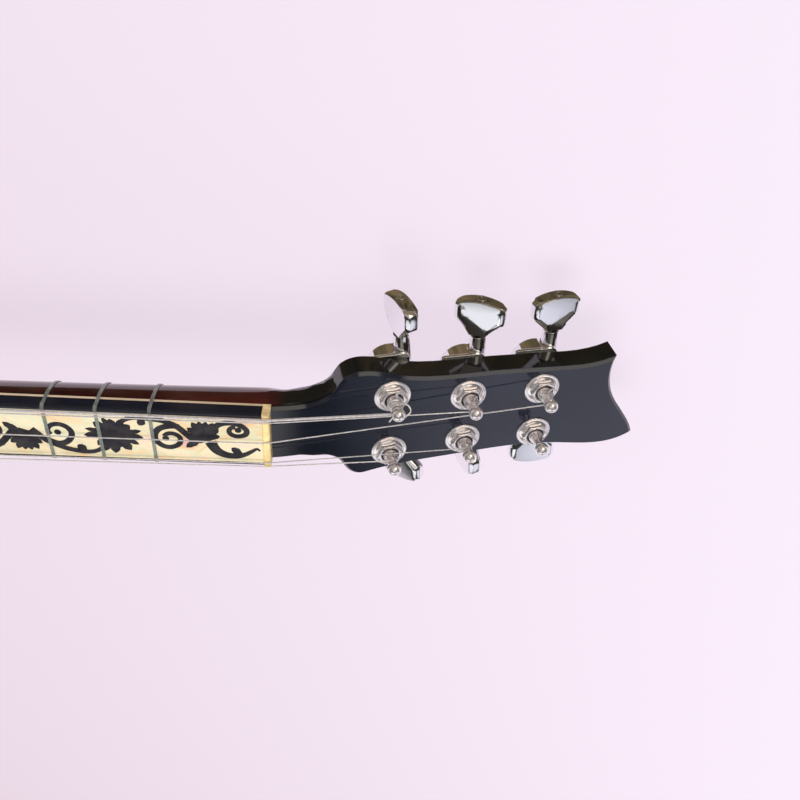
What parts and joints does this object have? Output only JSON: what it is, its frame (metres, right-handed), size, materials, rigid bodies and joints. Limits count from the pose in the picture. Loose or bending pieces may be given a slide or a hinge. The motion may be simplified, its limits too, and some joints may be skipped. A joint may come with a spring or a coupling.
{
  "type": "electric saz",
  "caption": "Long-necked electric lute with tied frets, a pearl-panelled fingerboard, worm-geared machine heads, pickups and a chambered teardrop body.",
  "frame": {"origin": "on the body's flat underside, under the bridge, on the centre line", "axes": "+X along the neck towards the headstock, +Y towards the bass strings, +Z out of the soundboard"},
  "size_m": [0.9986, 0.2362, 0.073],
  "materials": {
    "black_lacquer": "high gloss lacquer",
    "neck_lacquer": "high gloss dark red lacquer over figured wood",
    "body_lacquer": "high gloss dark red lacquer fading to black",
    "top_wood": "high gloss clear lacquer",
    "inner_wood": "bare",
    "pearl": "pearlescent",
    "ivory_binding": "polished",
    "bone": "polished",
    "nylon": "translucent",
    "black_plastic": "polished",
    "string_steel": "plain and wound wire",
    "chrome": "polished",
    "brass": "cut",
    "steel": "turned",
    "bridge_wood": "satin",
    "coil_wire": "wound enamelled wire",
    "control_plastic": "fine grain"
  },
  "bodies": {
    "instrument": {"neck": "neck_lacquer", "headstock_overlay": "black_lacquer", "fingerboard": "black_lacquer", "fingerboard_inlay": "pearl", "neck_binding": "ivory_binding", "nut": "bone", "fret_ties": "nylon", "strings_upper": "string_steel", "string_middle": "string_steel", "strings_lower": "string_steel", "body_bowl": "body_lacquer", "soundboard": "top_wood", "body_binding": "ivory_binding", "soundboard_braces": "inner_wood", "bridge": "bridge_wood", "tailpiece": "chrome", "control_cover": "control_plastic", "strap_buttons": "chrome", "body_screws": "chrome", "pickup_covers": "black_plastic", "pickup_bobbins": "control_plastic", "pickup_coils": "coil_wire", "pickup_poles": "steel", "pot_cases": "steel", "control_nuts": "chrome", "output_jack": "chrome", "tuner_housings": "chrome", "tuner_covers": "chrome", "tuner_bushings": "chrome", "tuner_washers": "chrome", "shaft_washers": "black_plastic", "tuner_screws": "chrome"},
    "tuner_1": {"tuner_button_1": "chrome", "tuner_worm_1": "steel"},
    "post_1": {"string_post_1": "chrome", "tuner_gear_1": "brass"},
    "tuner_2": {"tuner_button_2": "chrome", "tuner_worm_2": "steel"},
    "post_2": {"string_post_2": "chrome", "tuner_gear_2": "brass"},
    "tuner_3": {"tuner_button_3": "chrome", "tuner_worm_3": "steel"},
    "post_3": {"string_post_3": "chrome", "tuner_gear_3": "brass"},
    "tuner_4": {"tuner_button_4": "chrome", "tuner_worm_4": "steel"},
    "post_4": {"string_post_4": "chrome", "tuner_gear_4": "brass"},
    "tuner_5": {"tuner_button_5": "chrome", "tuner_worm_5": "steel"},
    "post_5": {"string_post_5": "chrome", "tuner_gear_5": "brass"},
    "tuner_6": {"tuner_button_6": "chrome", "tuner_worm_6": "steel"},
    "post_6": {"string_post_6": "chrome", "tuner_gear_6": "brass"},
    "volume_control": {"volume_knob": "black_plastic", "volume_shaft": "steel"},
    "tone_control": {"tone_knob": "black_plastic", "tone_shaft": "steel"}
  },
  "joints": [
    {"name": "tuner_1_turn", "type": "hinge", "parent": "instrument", "child": "tuner_1", "pos_m": [0.8022, 0.03203, 0.03262], "axis": [-0.0735, 0.9972, 0.0148], "continuous": true},
    {"name": "post_1_turn", "type": "hinge", "parent": "instrument", "child": "post_1", "pos_m": [0.79962, 0.01432, 0.0511], "axis": [0.198, 0, 0.9802], "continuous": true},
    {"name": "tuner_2_turn", "type": "hinge", "parent": "instrument", "child": "tuner_2", "pos_m": [0.83363, 0.02888, 0.02627], "axis": [-0.0239, 0.9997, 0.0048], "continuous": true},
    {"name": "post_2_turn", "type": "hinge", "parent": "instrument", "child": "post_2", "pos_m": [0.83018, 0.0115, 0.04492], "axis": [0.198, 0, 0.9802], "continuous": true},
    {"name": "tuner_3_turn", "type": "hinge", "parent": "instrument", "child": "tuner_3", "pos_m": [0.86446, 0.02889, 0.02004], "axis": [-0.0086, 1, 0.0017], "continuous": true},
    {"name": "post_3_turn", "type": "hinge", "parent": "instrument", "child": "post_3", "pos_m": [0.86074, 0.01163, 0.03875], "axis": [0.198, 0, 0.9802], "continuous": true},
    {"name": "tuner_4_turn", "type": "hinge", "parent": "instrument", "child": "tuner_4", "pos_m": [0.80576, -0.03031, 0.0319], "axis": [0.1364, -0.9903, -0.0276], "continuous": true},
    {"name": "post_4_turn", "type": "hinge", "parent": "instrument", "child": "post_4", "pos_m": [0.79962, -0.01432, 0.0511], "axis": [0.198, 0, 0.9802], "continuous": true},
    {"name": "tuner_5_turn", "type": "hinge", "parent": "instrument", "child": "tuner_5", "pos_m": [0.83529, -0.02809, 0.02594], "axis": [0.0735, -0.9972, -0.0148], "continuous": true},
    {"name": "post_5_turn", "type": "hinge", "parent": "instrument", "child": "post_5", "pos_m": [0.83018, -0.0115, 0.04492], "axis": [0.198, 0, 0.9802], "continuous": true},
    {"name": "tuner_6_turn", "type": "hinge", "parent": "instrument", "child": "tuner_6", "pos_m": [0.86571, -0.0283, 0.01979], "axis": [0.065, -0.9978, -0.0131], "continuous": true},
    {"name": "post_6_turn", "type": "hinge", "parent": "instrument", "child": "post_6", "pos_m": [0.86074, -0.01163, 0.03875], "axis": [0.198, 0, 0.9802], "continuous": true},
    {"name": "volume_turn", "type": "hinge", "parent": "instrument", "child": "volume_control", "pos_m": [0, -0.054, 0.058], "axis": [0, 0, -1], "range_deg": [0, 280]},
    {"name": "tone_turn", "type": "hinge", "parent": "instrument", "child": "tone_control", "pos_m": [0.044, -0.054, 0.058], "axis": [0, 0, -1], "range_deg": [0, 280]}
  ],
  "couplings": [
    {"joint": "post_1_turn", "follows": "tuner_1_turn", "ratio": -0.071429},
    {"joint": "post_2_turn", "follows": "tuner_2_turn", "ratio": -0.071429},
    {"joint": "post_3_turn", "follows": "tuner_3_turn", "ratio": -0.071429},
    {"joint": "post_4_turn", "follows": "tuner_4_turn", "ratio": -0.071429},
    {"joint": "post_5_turn", "follows": "tuner_5_turn", "ratio": -0.071429},
    {"joint": "post_6_turn", "follows": "tuner_6_turn", "ratio": -0.071429}
  ]
}
